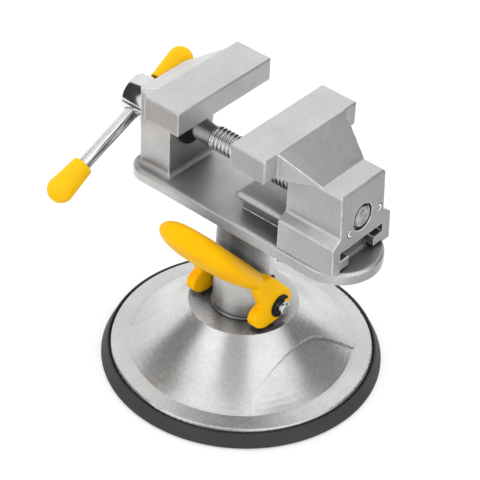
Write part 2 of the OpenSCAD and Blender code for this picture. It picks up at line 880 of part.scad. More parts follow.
module fixed_rib() {
    low = bar_low_z;
    translate([0, 0, low])
        intersection() {
            linear_extrude(height = bar_h)
                polygon([
                    [-fixed_back_x + over, -half_rib],
                    [-fixed_back_x + over, half_rib],
                    [-fixed_back_x, half_rib],
                    [-stand_back_x, half_stand],
                    [-stand_back_x, -half_stand],
                    [-fixed_back_x, -half_rib]
                ]);
            side_prism([
                [-fixed_back_x + over, 0],
                [-fixed_back_x + over, bar_h - rib_drop],
                [-fixed_back_x + rib_lap, bar_h - rib_drop],
                [-stand_back_x, bar_h - fixed_rib_fall],
                [-stand_back_x, 0]
            ], jaw_w);
        }
}

module vise_bed() {
    color(casting)
        difference() {
            union() {
                bed_plate();
                rail();
                block([-stand_back_x, -half_stand, bed_z - over],
                    [-stand_front_x, half_stand, bar_low_z + bar_soft]);
                stand_foot();
                soft_block([-fixed_back_x, -half_jaw, bar_low_z],
                    [-fixed_face_x, half_jaw, jaw_z], bar_soft);
                fixed_rib();
                // spigot in the neck
                translate([0, 0, socket_z + pass_gap])
                    intersection() {
                        cylinder(h = socket_h, r = spigot_r);
                        block([-spigot_d, -spigot_d, -over],
                            [spigot_flat, spigot_d, socket_h + over]);
                    }
            }
            // screw bore
            translate([0, 0, screw_z])
                rod_x(-stand_back_x - over, -stand_front_x + over, stand_bore_r);
            // blind hole for the bed bolt
            translate([0, 0, socket_z - over])
                cylinder(h = bolt_hole_h + over, r = bolt_r + run_gap);
        }
}

module bed_washer() {
    color(steel)
        translate([0, 0, web_z - bolt_washer_t])
            difference() {
                cylinder(h = bolt_washer_t, r = bolt_washer_d / 2);
                translate([0, 0, -over])
                    cylinder(h = bolt_washer_t + 2 * over, r = bolt_r + free_gap);
            }
}

module bed_bolt() {
    head_top = web_z - bolt_washer_t;
    color(steel)
        difference() {
            union() {
                translate([0, 0, head_top - bolt_head_h])
                    cylinder(h = bolt_head_h, r = bolt_head_d / 2);
                translate([0, 0, head_top - over])
                    cylinder(h = over + bolt_washer_t + neck_web + bolt_hole_h - over,
                        r = bolt_r);
            }
            translate([0, 0, head_top - bolt_head_h - over])
                cylinder(h = bolt_key_h + over, d = bolt_key_w / cos(30), $fn = 6);
        }
}

// Side view of the block, with its leaning end face and the round top edge.
module block_side(x_back, low, high) {
    side_prism(concat(
        [[x_back, low], [end_face_x(low), low]],
        arc_pts([end_face_x(high) - block_soft, high - block_soft], block_soft, 0, 90),
        [[x_back, high]]
    ), 2 * skirt_w);
}
function end_face_x(z) = block_end_x
    + block_draft * (block_z - z) / (block_z - skirt_low_z);

// Half of the block's end view: skirt, sloping shoulder and body, all rounded.
shoulder_lean = atan2(shoulder_fall, half_skirt - half_stand);
shoulder_run = shoulder_soft * tan(45 - shoulder_lean / 2);
function block_half_view() = concat(
    [[half_skirt, skirt_low_z]],
    arc_pts([half_skirt - shoulder_soft, shoulder_low_z - shoulder_run],
        shoulder_soft, 0, 90 - shoulder_lean),
    arc_pts([half_stand + shoulder_soft, shoulder_z + shoulder_run],
        shoulder_soft, 270 - shoulder_lean, 180),
    arc_pts([half_stand - block_soft, block_z - block_soft], block_soft, 0, 90));

module block_end_view() {
    half = block_half_view();
    last = len(half) - 1;
    polygon(concat(half, [for (i = [last : -1 : 0]) [-half[i][0], half[i][1]]]));
}

module moving_rib() {
    rib_end_x = moving_back_x + rib_l;
    translate([0, 0, rib_low_z])
        intersection() {
            linear_extrude(height = jaw_z - rib_low_z)
                polygon([
                    [moving_back_x - over, -half_rib],
                    [moving_back_x, -half_rib],
                    [rib_end_x, -rib_end_half],
                    [rib_end_x, rib_end_half],
                    [moving_back_x, half_rib],
                    [moving_back_x - over, half_rib]
                ]);
            side_prism([
                [moving_back_x - over, 0],
                [moving_back_x - over, jaw_z - rib_low_z - rib_drop],
                [moving_back_x - rib_lap, jaw_z - rib_low_z - rib_drop],
                [rib_end_x, block_z - rib_low_z],
                [rib_end_x, 0]
            ], jaw_w);
        }
}

module moving_jaw() {
    block_x = moving_back_x + pass_gap;
    color(casting)
        difference() {
            union() {
                intersection() {
                    block_side(block_x, skirt_low_z, block_z);
                    translate([block_x, 0, 0])
                        rotate([90, 0, 90])
                            linear_extrude(height = block_end_x)
                                block_end_view();
                }
                soft_block([moving_face_x, -half_jaw, bar_low_z],
                    [moving_back_x, half_jaw, jaw_z], bar_soft);
                moving_rib();
            }
            // T slot and the gap between the hooks
            block([block_x - over, -half_tee, hook_top_z],
                [bed_front_x, half_tee, tee_top_z]);
            block([block_x - over, -half_hook, skirt_low_z - over],
                [bed_front_x, half_hook, tee_top_z]);
            block([block_x - over, -half_tee, skirt_low_z - over],
                [bed_front_x, half_tee, hook_low_z]);
            // screw hole and its mouth
            translate([0, 0, screw_z]) {
                rod_x(block_x - over, bed_front_x, screw_r + run_gap);
                rod_x(end_face_x(screw_z) - mouth_h, bed_front_x, mouth_r);
            }
        }
}

module jaw_screw() {
    color(bright)
        translate([0, 0, screw_z])
            difference() {
                union() {
                    // head
                    rod_x(-head_x + head_soft, -head_in_x, head_r);
                    translate([-head_x, 0, 0])
                        rotate([0, 90, 0])
                            cylinder(h = head_soft, r1 = head_r - head_soft, r2 = head_r);
                    rod_x(-head_in_x - over, -clip_seat_x, journal_r);
                    rod_x(-clip_seat_x, -clip_seat_x + ring_clip_t + 2 * run_gap, ring_groove_r);
                    rod_x(-clip_seat_x + ring_clip_t + 2 * run_gap, -thread_x, neck_r);
                    // thread envelope
                    rod_x(-thread_x, screw_end_x - screw_soft, screw_r);
                    translate([screw_end_x - screw_soft, 0, 0])
                        rotate([0, 90, 0])
                            cylinder(h = screw_soft, r1 = screw_r, r2 = screw_r - screw_soft);
                }
                translate([-bar_x, 0, 0])
                    rotate([bar_tilt, 0, 0])
                        rotate([-90, 0, 0])
                            cylinder(h = 2 * head_d, r = bar_hole_r, center = true);
            }
}

module thrust_washer() {
    color(steel)
        translate([0, 0, screw_z])
            difference() {
                rod_x(-head_in_x + run_gap, -stand_back_x, head_r - head_soft);
                rod_x(-head_in_x - over, -stand_back_x + over, journal_r + free_gap);
            }
}

module screw_clip() {
    color(black)
        translate([-clip_seat_x + run_gap, 0, screw_z])
            rotate([90, 0, 90])
                linear_extrude(height = ring_clip_t)
                    difference() {
                        circle(r = ring_out_r);
                        circle(r = ring_groove_r + run_gap);
                        translate([-ring_mouth / 2, 0])
                            square([ring_mouth, ring_clip_d]);
                    }
}

// Turns +Z into the handle's own direction, through the head's hole.
module along_bar() {
    translate([-bar_x, 0, screw_z])
        rotate([bar_tilt, 0, 0])
            rotate([-90, 0, 0])
                children();
}

module t_bar() {
    color(bright)
        along_bar()
            translate([0, 0, rod_low_u])
                cylinder(h = rod_top_u - rod_low_u, r = rod_r);
}

// Cap: a flared sleeve with a domed end, mouth at the origin.
module bar_cap() {
    difference() {
        union() {
            cylinder(h = cap_flare_l, r1 = cap_mouth_r, r2 = cap_r);
            translate([0, 0, cap_flare_l])
                sphere(r = cap_r);
        }
        translate([0, 0, -over])
            cylinder(h = cap_bore_l + over, r = rod_r + run_gap);
    }
}

module bar_cap_near() {
    color(yellow)
        along_bar()
            translate([0, 0, cap_near_u])
                rotate([180, 0, 0])
                    bar_cap();
}

module bar_cap_far() {
    color(yellow)
        along_bar()
            translate([0, 0, cap_far_u])
                bar_cap();
}

suction_pad();
pad_hub();
pull_stem();
return_spring();
spring_washer();
base_dome();
pivot_pin();
clip_left();
clip_right();
suction_lever();
vise_bed();
bed_bolt();
bed_washer();
moving_jaw();
jaw_screw();
thrust_washer();
screw_clip();
t_bar();
bar_cap_near();
bar_cap_far();
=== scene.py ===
import json
import math

import bmesh
import bpy
from mathutils import Matrix, Vector


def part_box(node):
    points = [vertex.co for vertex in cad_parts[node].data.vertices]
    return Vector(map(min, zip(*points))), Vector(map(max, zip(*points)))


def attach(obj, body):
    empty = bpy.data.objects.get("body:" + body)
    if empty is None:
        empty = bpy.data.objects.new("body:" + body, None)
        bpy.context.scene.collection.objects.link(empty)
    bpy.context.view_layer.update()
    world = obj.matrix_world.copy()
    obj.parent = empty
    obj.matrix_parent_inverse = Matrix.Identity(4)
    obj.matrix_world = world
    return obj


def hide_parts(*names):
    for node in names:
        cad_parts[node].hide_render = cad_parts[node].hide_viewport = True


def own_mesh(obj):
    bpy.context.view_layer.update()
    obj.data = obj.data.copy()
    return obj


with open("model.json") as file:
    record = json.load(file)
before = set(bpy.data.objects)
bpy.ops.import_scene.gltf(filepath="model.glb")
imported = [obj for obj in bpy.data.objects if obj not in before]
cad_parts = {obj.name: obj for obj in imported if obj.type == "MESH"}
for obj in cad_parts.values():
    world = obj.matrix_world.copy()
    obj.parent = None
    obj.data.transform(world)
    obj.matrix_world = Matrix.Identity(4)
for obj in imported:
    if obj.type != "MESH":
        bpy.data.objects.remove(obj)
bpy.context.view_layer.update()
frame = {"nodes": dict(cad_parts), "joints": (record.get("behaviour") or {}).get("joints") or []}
NODES = frame["nodes"]
JOINTS = {joint["name"]: joint for joint in frame["joints"]}
MM = 0.001
SCREW_Z = JOINTS["screw_turn"]["pos_m"][2]


# Camera: angles in degrees, distances in metres, lens and sensor in millimetres

CAM_AZ = 39.1135
CAM_EL = 38.8020
CAM_ROLL = 2.8491
CAM_DISTANCE = 0.76013
CAM_TARGET = Vector((0, 0, 0.0564))
CAM_LENS = 154.29
CAM_SENSOR = 36
CAM_SHIFT = (-0.01395, -0.00564)
CAM_CLIP = (0.01, 20)


def make_camera():
    az, el, roll = (math.radians(a) for a in (CAM_AZ, CAM_EL, CAM_ROLL))
    back = Vector((math.sin(az) * math.cos(el), -math.cos(az) * math.cos(el), math.sin(el)))
    right = Vector((math.cos(az), math.sin(az), 0))
    up = back.cross(right)
    x = math.cos(roll) * right + math.sin(roll) * up
    y = -math.sin(roll) * right + math.cos(roll) * up
    data = bpy.data.cameras.new("camera")
    cam = bpy.data.objects.new("camera", data)
    bpy.context.scene.collection.objects.link(cam)
    turn = Matrix((x, y, back)).transposed().to_4x4()
    cam.matrix_world = Matrix.Translation(CAM_TARGET + back * CAM_DISTANCE) @ turn
    data.lens = CAM_LENS
    data.sensor_width = CAM_SENSOR
    data.shift_x, data.shift_y = CAM_SHIFT
    data.clip_start, data.clip_end = CAM_CLIP
    bpy.context.scene.camera = cam


# Shader node helpers

# Mix and Map Range give several sockets the same name, so these go by their number.
MIX_FACTOR, MIX_FLOATS, MIX_COLORS, MIX_COLOR_OUT = 0, (2, 3), (6, 7), 2
RANGE_VALUE, RANGE_LIMITS = 0, (1, 2, 3, 4)

NODE_SAMPLES = 8
NOISE_SPAN, FINE_ROUGH = (0.3, 0.7), 0.6
# Cosines of the turn at which an edge begins to show and is full.
EDGE_SPAN = (0.985, 0.92)
# Upward parts of a normal from standing to lying, and the share of the painted corner shade that
# standing faces get.
LYING_SPAN, STANDING_SHADE = (0.5, 0.9), 0.15
# Height in millimetres over which the painted shade of standing faces sets in.
SHADE_FADE = 5


def fill(node, **values):
    """Sets settings by name, and input values by name with _ in place of each space."""
    for key, value in values.items():
        if hasattr(node, key):
            setattr(node, key, value)
        else:
            node.inputs[key.replace("_", " ")].default_value = value
    return node


def add(nt, kind, **values):
    return fill(nt.nodes.new(kind), **values)


def feed(nt, socket, value):
    """Sets a number or a colour on the socket itself and links anything else to it."""
    if isinstance(value, (int, float)):
        socket.default_value = value
    elif isinstance(value, tuple):
        socket.default_value = (*value, 1)
    else:
        nt.links.new(value, socket)


def new_material(name):
    m = bpy.data.materials.new(name)
    m.use_nodes = True
    nt = m.node_tree
    return m, nt, nt.nodes["Principled BSDF"]


def object_coordinates(nt):
    return add(nt, "ShaderNodeTexCoord").outputs["Object"]


def axis(nt, vector, letter):
    n = add(nt, "ShaderNodeSeparateXYZ")
    nt.links.new(vector, n.inputs[0])
    return n.outputs[letter]


def noise(nt, co, size, detail=3, rough=0.5):
    n = add(nt, "ShaderNodeTexNoise", Scale=1 / (size * MM), Detail=detail, Roughness=rough)
    nt.links.new(co, n.inputs["Vector"])
    return n.outputs["Fac"]


def fine_noise(nt, co, size):
    return noise(nt, co, size, rough=FINE_ROUGH)


def remap(nt, value, lo, hi, to_lo, to_hi):
    n = add(nt, "ShaderNodeMapRange")
    for i, limit in zip(RANGE_LIMITS, (lo, hi, to_lo, to_hi)):
        n.inputs[i].default_value = limit
    nt.links.new(value, n.inputs[RANGE_VALUE])
    return n.outputs[0]


def spread(nt, value, to_lo, to_hi):
    """Stretches a noise, most of which lies in NOISE_SPAN, over the given span."""
    return remap(nt, value, *NOISE_SPAN, to_lo, to_hi)


def mix_value(nt, factor, a, b):
    n = add(nt, "ShaderNodeMix")
    feed(nt, n.inputs[MIX_FACTOR], factor)
    for i, value in zip(MIX_FLOATS, (a, b)):
        feed(nt, n.inputs[i], value)
    return n.outputs[0]


def mix_color(nt, factor, a, b):
    n = add(nt, "ShaderNodeMix", data_type="RGBA")
    feed(nt, n.inputs[MIX_FACTOR], factor)
    for i, color in zip(MIX_COLORS, (a, b)):
        feed(nt, n.inputs[i], color)
    return n.outputs[MIX_COLOR_OUT]


def math_node(nt, operation, *values):
    n = add(nt, "ShaderNodeMath", operation=operation)
    for i, value in enumerate(values):
        feed(nt, n.inputs[i], value)
    return n.outputs[0]


def dim(nt, color, factor):
    n = add(nt, "ShaderNodeVectorMath", operation="SCALE")
    nt.links.new(color, n.inputs[0])
    nt.links.new(factor, n.inputs["Scale"])
    return n.outputs["Vector"]


def rounded_normal(nt, radius):
    return add(nt, "ShaderNodeBevel", samples=NODE_SAMPLES, Radius=radius * MM).outputs["Normal"]


def edge_mask(nt, rounded):
    """0 on open faces, up to 1 where the rounded normal turns away at a sharp edge."""
    dot = add(nt, "ShaderNodeVectorMath", operation="DOT_PRODUCT")
    nt.links.new(add(nt, "ShaderNodeNewGeometry").outputs["Normal"], dot.inputs[0])
    nt.links.new(rounded, dot.inputs[1])
    return remap(nt, dot.outputs["Value"], *EDGE_SPAN, 0, 1)


def corner_shade(nt, reach, low, shut=0.3, clear=0.85, shaded_above=None):
    """Painted shade in corners: 1 in the open, down to low where it is closed in.

    With a height given, standing faces below it get little of the painted shade.
    """
    ao = add(nt, "ShaderNodeAmbientOcclusion", samples=NODE_SAMPLES, Distance=reach * MM)
    shade = remap(nt, ao.outputs["AO"], shut, clear, low, 1)
    if shaded_above is None:
        return shade
    co = add(nt, "ShaderNodeTexCoord")
    lying = remap(nt, axis(nt, co.outputs["Normal"], "Z"), *LYING_SPAN, STANDING_SHADE, 1)
    high = remap(nt, axis(nt, co.outputs["Object"], "Z"), (shaded_above - SHADE_FADE) * MM,
                 shaded_above * MM, 0, 1)
    return mix_value(nt, math_node(nt, "MAXIMUM", lying, high), 1, shade)


def soft_bump(nt, normal, layers):
    """Bumps on top of a normal, each with its height map, strength and depth."""
    for height, strength, depth in layers:
        bump = add(nt, "ShaderNodeBump", Strength=strength, Distance=depth * MM)
        nt.links.new(height, bump.inputs["Height"])
        if normal is not None:
            nt.links.new(normal, bump.inputs["Normal"])
        normal = bump.outputs["Normal"]
    return normal


def grey(value):
    return (value, value, value)


def scaled(tone, factor):
    return tuple(min(1, c * factor) for c in tone)


# Cast metal: noise sizes and depths in millimetres, tones as shares of the metal's own,
# and the pores' size as a multiple of the grain's

CAST_TONE = grey(0.63)
CAST_MID, CAST_BROAD = 2.4, 14
DRIFT_DARK, DRIFT_LIGHT = 0.93, 1.06
PORE_SPAN, PORE_TONE = (0.42, 0.66), 0.66
PORE_SIZE, PORE_ROUGH = 2, 0.7
GLINT_SPAN, GLINT_TONE = (0.3, 0.55), 1.15
# Bright edges, partly wear and partly painted highlight: the noise span that breaks them up, the
# share left where the noise is low, and their tone.
WEAR_HIGHLIGHT_SPAN, WEAR_HIGHLIGHT_LEAST = (0.42, 0.58), 0.3
# The second tone is that of the crescents' painted shade line.
WORN_HIGHLIGHT_TONE, MARK_SHADE_TONE = grey(0.98), grey(0.03)
WAVE_DEPTH, GRAIN_DEPTH = 0.10, 0.06
CAST_SMOOTHER, CAST_ROUGHER = 0.03, 0.04
# Painted shade, as corner_shade's settings: in corners, and on the dome also over its collar and
# upper neck and, with the second, in the creases of its arches.
CAST_SHADES = [dict(reach=22, low=0.3)]
DOME_SHADES = [dict(reach=20, low=0.2, shut=0.45, clear=0.9, shaded_above=50),
               dict(reach=2.5, low=0.5, shut=0.75, clear=0.96)]


def cast_tone(nt, co, tone, fine, grain_size, mottle):
    """A tone that drifts over the casting, with darker pores and lighter glints."""
    broad = noise(nt, co, CAST_BROAD, detail=2)
    pores = noise(nt, co, PORE_SIZE * grain_size, detail=2, rough=PORE_ROUGH)
    body = mix_color(nt, spread(nt, broad, 0, 1), scaled(tone, DRIFT_DARK),
                     scaled(tone, DRIFT_LIGHT))
    body = mix_color(nt, remap(nt, pores, *PORE_SPAN, 0, mottle), body,
                     scaled(tone, PORE_TONE))
    return mix_color(nt, remap(nt, fine, *GLINT_SPAN, mottle, 0), body,
                     scaled(tone, GLINT_TONE))


def cast_metal(name, rough, soft, grain, grain_size=0.42, worn_highlight=0.5, wavy=0.1,
               shades=CAST_SHADES, mottle=0.25, gloss=0.9, mark_light_and_shade=None):
    """Part matt cast metal with bright edges, partly wear and partly a painted highlight, and
    painted shade in its corners.

    soft is the radius of the edges and grain_size the size of the grain, in millimetres.
    grain, wavy, mottle and worn are strengths, and gloss is the share of bare metal.
    mark_light_and_shade draws the crescents' painted highlight and painted shade lines on it.
    """
    m, nt, bsdf = new_material(name)
    co = object_coordinates(nt)
    fine = fine_noise(nt, co, grain_size)
    mid = noise(nt, co, CAST_MID)
    rounded = rounded_normal(nt, soft)
    body = cast_tone(nt, co, CAST_TONE, fine, grain_size, mottle)
    # Painted shade in corners.
    for shade in shades:
        body = dim(nt, body, corner_shade(nt, **shade))
    # Bright edges, partly wear and partly painted highlight, broken up by noise.
    wear_and_highlight = math_node(nt, "MULTIPLY", edge_mask(nt, rounded),
                     remap(nt, mid, *WEAR_HIGHLIGHT_SPAN, worn_highlight * WEAR_HIGHLIGHT_LEAST, worn_highlight))
    # The crescents' painted highlight joins the bright edges, and their painted shade is laid on
    # last.
    if mark_light_and_shade:
        mark_highlight, mark_shade = mark_light_and_shade(nt, co)
        wear_and_highlight = math_node(nt, "MAXIMUM", wear_and_highlight, mark_highlight)
    body = mix_color(nt, wear_and_highlight, body, WORN_HIGHLIGHT_TONE)
    if mark_light_and_shade:
        body = mix_color(nt, mark_shade, body, MARK_SHADE_TONE)
    nt.links.new(body, bsdf.inputs["Base Color"])
    nt.links.new(remap(nt, wear_and_highlight, 0, 1, gloss, 0), bsdf.inputs["Metallic"])
    nt.links.new(spread(nt, mid, rough - CAST_SMOOTHER, rough + CAST_ROUGHER),
                 bsdf.inputs["Roughness"])
    normal = soft_bump(nt, rounded, [(mid, wavy, WAVE_DEPTH), (fine, grain, GRAIN_DEPTH)])
    nt.links.new(normal, bsdf.inputs["Normal"])
    return m


# Two small crescents that the casting tool left beside the screw on the jaw's end, drawn without
# relief as a painted highlight line and a painted shade line

# Place of each beside the screw in y and z, and the side to which it bulges.
CRESCENTS = [(-6.4, -3.6, -1), (9.2, -1.3, 1)]
# Radius and half width in millimetres of the painted highlight line and of the painted shade
# line.
HIGHLIGHT_LINE, SHADE_LINE = (1.3, 0.42), (1.75, 0.24)
LINE_CORE = 0.6
CRESCENT_TIP = 0.3
END_FACE_X = (49.5, 49.6)


def crescent(nt, co, place, line):
    """Half a circle drawn with a soft line, whose radius and half width are given."""
    y, z, side = place
    radius, half = line
    dy = math_node(nt, "SUBTRACT", axis(nt, co, "Y"), y * MM)
    dz = math_node(nt, "SUBTRACT", axis(nt, co, "Z"), SCREW_Z + z * MM)
    away = math_node(nt, "SQRT", math_node(nt, "ADD", math_node(nt, "MULTIPLY", dy, dy),
                                           math_node(nt, "MULTIPLY", dz, dz)))
    off = math_node(nt, "ABSOLUTE", math_node(nt, "SUBTRACT", away, radius * MM))
    drawn = remap(nt, off, half * LINE_CORE * MM, half * MM, 1, 0)
    outer = remap(nt, math_node(nt, "MULTIPLY", dy, side), -CRESCENT_TIP * MM,
                  CRESCENT_TIP * MM, 0, 1)
    return math_node(nt, "MULTIPLY", drawn, outer)


def crescents(nt, co):
    """Masks of the painted highlight lines and the painted shade lines of both crescents."""
    low, high = END_FACE_X
    on_end = remap(nt, axis(nt, co, "X"), low * MM, high * MM, 0, 1)
    masks = []
    for line in (HIGHLIGHT_LINE, SHADE_LINE):
        both = math_node(nt, "MAXIMUM", *(crescent(nt, co, at, line) for at in CRESCENTS))
        masks.append(math_node(nt, "MULTIPLY", both, on_end))
    return masks


# Polished steel, plastic and rubber: noise sizes, depths and edges in millimetres

STEEL_MID, STEEL_FINE = 3.0, 0.6
STEEL_DARK, STEEL_EDGE, STEEL_GRAIN = 0.92, 0.2, 0.12
POLISHED_MORE, POLISHED_LESS = 0.8, 1.3
SAWN_FADE, SAWN_ROUGH = 0.1, 0.35
SAWN_SPAN, SAWN_DARK, SAWN_LIGHT = (0.4, 0.6), grey(0.5), grey(0.85)
SKIN_DEPTH = 0.03
PLASTIC_BROAD, PLASTIC_FINE, PLASTIC_GRAIN = 16, 0.7, 0.08
PLASTIC_SMOOTHER, PLASTIC_ROUGHER = 0.03, 0.05
PLASTIC_GLOW = (3 * MM, 1.8 * MM, 0.6 * MM)
RUBBER_BROAD, RUBBER_FINE, RUBBER_GRAIN, RUBBER_DEPTH = 9, 0.5, 0.2, 0.05
RUBBER_DARK, RUBBER_LIGHT = (0.028, 0.028, 0.03), (0.036, 0.036, 0.038)
RUBBER_ROUGH = (0.5, 0.62)


def chrome(name, tone, rough, reach=12, closed=0.5, sawn_from=None):
    """Polished steel, darkened by painted shade down to closed where something is within reach,
    in millimetres.

    With sawn_from, it is left as it was sawn from that x on.
    """
    m, nt, bsdf = new_material(name)
    co = object_coordinates(nt)
    mid = noise(nt, co, STEEL_MID)
    fine = fine_noise(nt, co, STEEL_FINE)
    body = mix_color(nt, spread(nt, mid, 0, 1), scaled(tone, STEEL_DARK), tone)
    # Painted shade in the thread's grooves and where other parts are close.
    body = dim(nt, body, corner_shade(nt, reach, closed))
    polish = spread(nt, fine, rough * POLISHED_MORE, rough * POLISHED_LESS)
    if sawn_from is not None:
        sawn = remap(nt, axis(nt, co, "X"), (sawn_from - SAWN_FADE) * MM, sawn_from * MM, 0, 1)
        polish = math_node(nt, "ADD", polish, remap(nt, sawn, 0, 1, 0, SAWN_ROUGH))
        ground = mix_color(nt, remap(nt, mid, *SAWN_SPAN, 0, 1), SAWN_DARK, SAWN_LIGHT)
        body = mix_color(nt, sawn, body, ground)
    nt.links.new(body, bsdf.inputs["Base Color"])
    fill(bsdf, Metallic=1)
    nt.links.new(polish, bsdf.inputs["Roughness"])
    normal = soft_bump(nt, rounded_normal(nt, STEEL_EDGE), [(fine, STEEL_GRAIN, SKIN_DEPTH)])
    nt.links.new(normal, bsdf.inputs["Normal"])
    return m


def plastic(name, tone, shade, rough, soft):
    """Moulded plastic that drifts between tone and shade, with edges of radius soft."""
    m, nt, bsdf = new_material(name)
    co = object_coordinates(nt)
    broad = noise(nt, co, PLASTIC_BROAD, detail=2)
    fine = fine_noise(nt, co, PLASTIC_FINE)
    nt.links.new(mix_color(nt, spread(nt, broad, 0, 1), shade, tone), bsdf.inputs["Base Color"])
    nt.links.new(spread(nt, fine, rough - PLASTIC_SMOOTHER, rough + PLASTIC_ROUGHER),
                 bsdf.inputs["Roughness"])
    fill(bsdf, Specular_IOR_Level=0.05, Subsurface_Weight=0.25,
         Subsurface_Radius=PLASTIC_GLOW, Subsurface_Scale=1)
    normal = soft_bump(nt, rounded_normal(nt, soft), [(fine, PLASTIC_GRAIN, SKIN_DEPTH)])
    nt.links.new(normal, bsdf.inputs["Normal"])
    return m


def rubber(name):
    m, nt, bsdf = new_material(name)
    co = object_coordinates(nt)
    broad = noise(nt, co, RUBBER_BROAD)
    fine = fine_noise(nt, co, RUBBER_FINE)
    nt.links.new(mix_color(nt, spread(nt, broad, 0, 1), RUBBER_DARK, RUBBER_LIGHT),
                 bsdf.inputs["Base Color"])
    nt.links.new(spread(nt, fine, *RUBBER_ROUGH), bsdf.inputs["Roughness"])
    fill(bsdf, Specular_IOR_Level=0.4)
    nt.links.new(soft_bump(nt, None, [(fine, RUBBER_GRAIN, RUBBER_DEPTH)]),
                 bsdf.inputs["Normal"])
    return m


# Mesh helpers

RELAX_FACTOR = 0.5


def shade_smooth(me):
    me.polygons.foreach_set("use_smooth", [True] * len(me.polygons))


def mesh_object(name, verts, faces):
    me = bpy.data.meshes.new(name)
    me.from_pydata(verts, [], faces)
    me.validate()
    shade_smooth(me)
    ob = bpy.data.objects.new(name, me)
    bpy.context.scene.collection.objects.link(ob)
    return ob


def fix_normals(ob):
    bm = bmesh.new()
    bm.from_mesh(ob.data)
    bmesh.ops.recalc_face_normals(bm, faces=bm.faces)
    bm.to_mesh(ob.data)
    bm.free()
    return ob


def angles(n):
    return [2 * math.pi * i / n for i in range(n)]


def loft(name, rings):
    """Closed skin over rings of equal length. A single point closes an end."""
    verts, faces, starts = [], [], []
    for ring in rings:
        starts.append(len(verts))
        verts.extend(ring)
    n = max(len(r) for r in rings)
    for k in range(len(rings) - 1):
        a, b = starts[k], starts[k + 1]
        for i in range(n):
            j = (i + 1) % n
            if len(rings[k]) == 1:
                faces.append((a, b + j, b + i))
            elif len(rings[k + 1]) == 1:
                faces.append((a + i, a + j, b))
            else:
                faces.append((a + i, a + j, b + j, b + i))
    if len(rings[0]) > 1:
        faces.append(tuple(range(starts[0] + n - 1, starts[0] - 1, -1)))
    if len(rings[-1]) > 1:
        faces.append(tuple(range(starts[-1], starts[-1] + n)))
    return fix_normals(mesh_object(name, verts, faces))


def rod(name, a, b, r, n):
    """Round bar of radius r from a to b."""
    a, b = Vector(a), Vector(b)
    along = (b - a).normalized()
    side = along.orthogonal().normalized()
    other = along.cross(side)
    return loft(name, [[tuple(end + r * (math.cos(t) * side + math.sin(t) * other))
                        for t in angles(n)] for end in (a, b)])


def bake(ob):
    deps = bpy.context.evaluated_depsgraph_get()
    deps.update()
    me = bpy.data.meshes.new_from_object(ob.evaluated_get(deps))
    ob.modifiers.clear()
    ob.data = me


def cut(ob, tool):
    mod = ob.modifiers.new("cut", "BOOLEAN")
    mod.operation = "DIFFERENCE"
    mod.object = tool
    mod.solver = "EXACT"
    bake(ob)
    bpy.data.objects.remove(tool)


def skin(ob, voxel, relax_steps):
    """One even skin over all that overlaps, smoothed by the given steps."""
    mod = ob.modifiers.new("skin", "REMESH")
    mod.mode = "VOXEL"
    mod.voxel_size = voxel * MM
    mod.use_smooth_shade = True
    relax = ob.modifiers.new("relax", "SMOOTH")
    relax.factor = RELAX_FACTOR
    relax.iterations = relax_steps
    bake(ob)


def join(name, parts):
    verts, faces = [], []
    for ob in parts:
        start = len(verts)
        verts.extend(tuple(v.co) for v in ob.data.vertices)
        faces.extend(tuple(start + i for i in p.vertices) for p in ob.data.polygons)
        bpy.data.objects.remove(ob)
    return mesh_object(name, verts, faces)


# Cam lever: two ears with cam lobes and a plump paddle, melted into one skin

# Millimetres from the pin: u runs along the lever as it lies when locked, h upwards.
PIVOT_Z = JOINTS["lever_turn"]["pos_m"][2]
UP_ANGLE = JOINTS["lever_turn"]["range_deg"][1]
UP = math.radians(UP_ANGLE)
ARC_STEPS = 24
EAR_IN, EAR_OUT = 13.1, 17.2
BOSS_R, BOSS_RISE, BOSS_STEPS = 7.1, 0.4, 40
ARM_C, ARM_R = (14.0, 2.7), 4.8
CAM_R, CAM_RATE, CAM_STEPS = 6.7, 5.9, 12
LOBE_R, LOBE_PAST = 4.2, 0.3
PADDLE_FROM, PADDLE_TO = 10, 55.3
PADDLE_HALF_W, PADDLE_W_SHARES = 17.9, (0.92, 1, 0.95)
PADDLE_HALF_T, PADDLE_T_SHARES = 5.3, (0.72, 1, 0.95)
PADDLE_H = (3.8, 2.0, 3.1)
PADDLE_SQUARENESS = 2.8
TIP_LATE, TIP_BLUNT = 7.9, 0.38
PADDLE_RINGS, PADDLE_AROUND = 40, 64
# Tools that clear the neck, from below the pin up to z, and the pin, to both sides.
NECK_CLEAR_R, NECK_CUT_BELOW, NECK_CUT_TOP, NECK_AROUND = 12.6, 7, 85, 96
PIN_CLEAR_R, PIN_CUT_X, HOLE_AROUND = 2.75, 30, 48
MELT_VOXEL, MELT_RELAX = 0.35, 2
SKIN_VOXEL, SKIN_RELAX = ((0.32, 14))


def lever_point(x, u, h):
    y = -u * math.cos(UP) + h * math.sin(UP)
    z = u * math.sin(UP) + h * math.cos(UP)
    return (x * MM, y * MM, PIVOT_Z + z * MM)


def run(t, a, b, c):
    """Smooth run through a at the start, b half way and c at the end."""
    return a * (1 - t) * (1 - 2 * t) + 4 * b * t * (1 - t) + c * t * (2 * t - 1)


def polar(center, r, angle):
    a = math.radians(angle)
    return (center[0] + r * math.cos(a), center[1] + r * math.sin(a))


def arc(center, r, a0, a1, n=ARC_STEPS):
    return [polar(center, r, a0 + (a1 - a0) * i / n) for i in range(n + 1)]


def belt(center, r):
    """Direction of a circle from the pin, and the angle from there to the point where a
    line that touches boss and circle leaves the boss."""
    lean = math.degrees(math.atan2(center[1], center[0]))
    fan = math.degrees(math.acos((BOSS_R - r) / math.hypot(*center)))
    return lean, fan


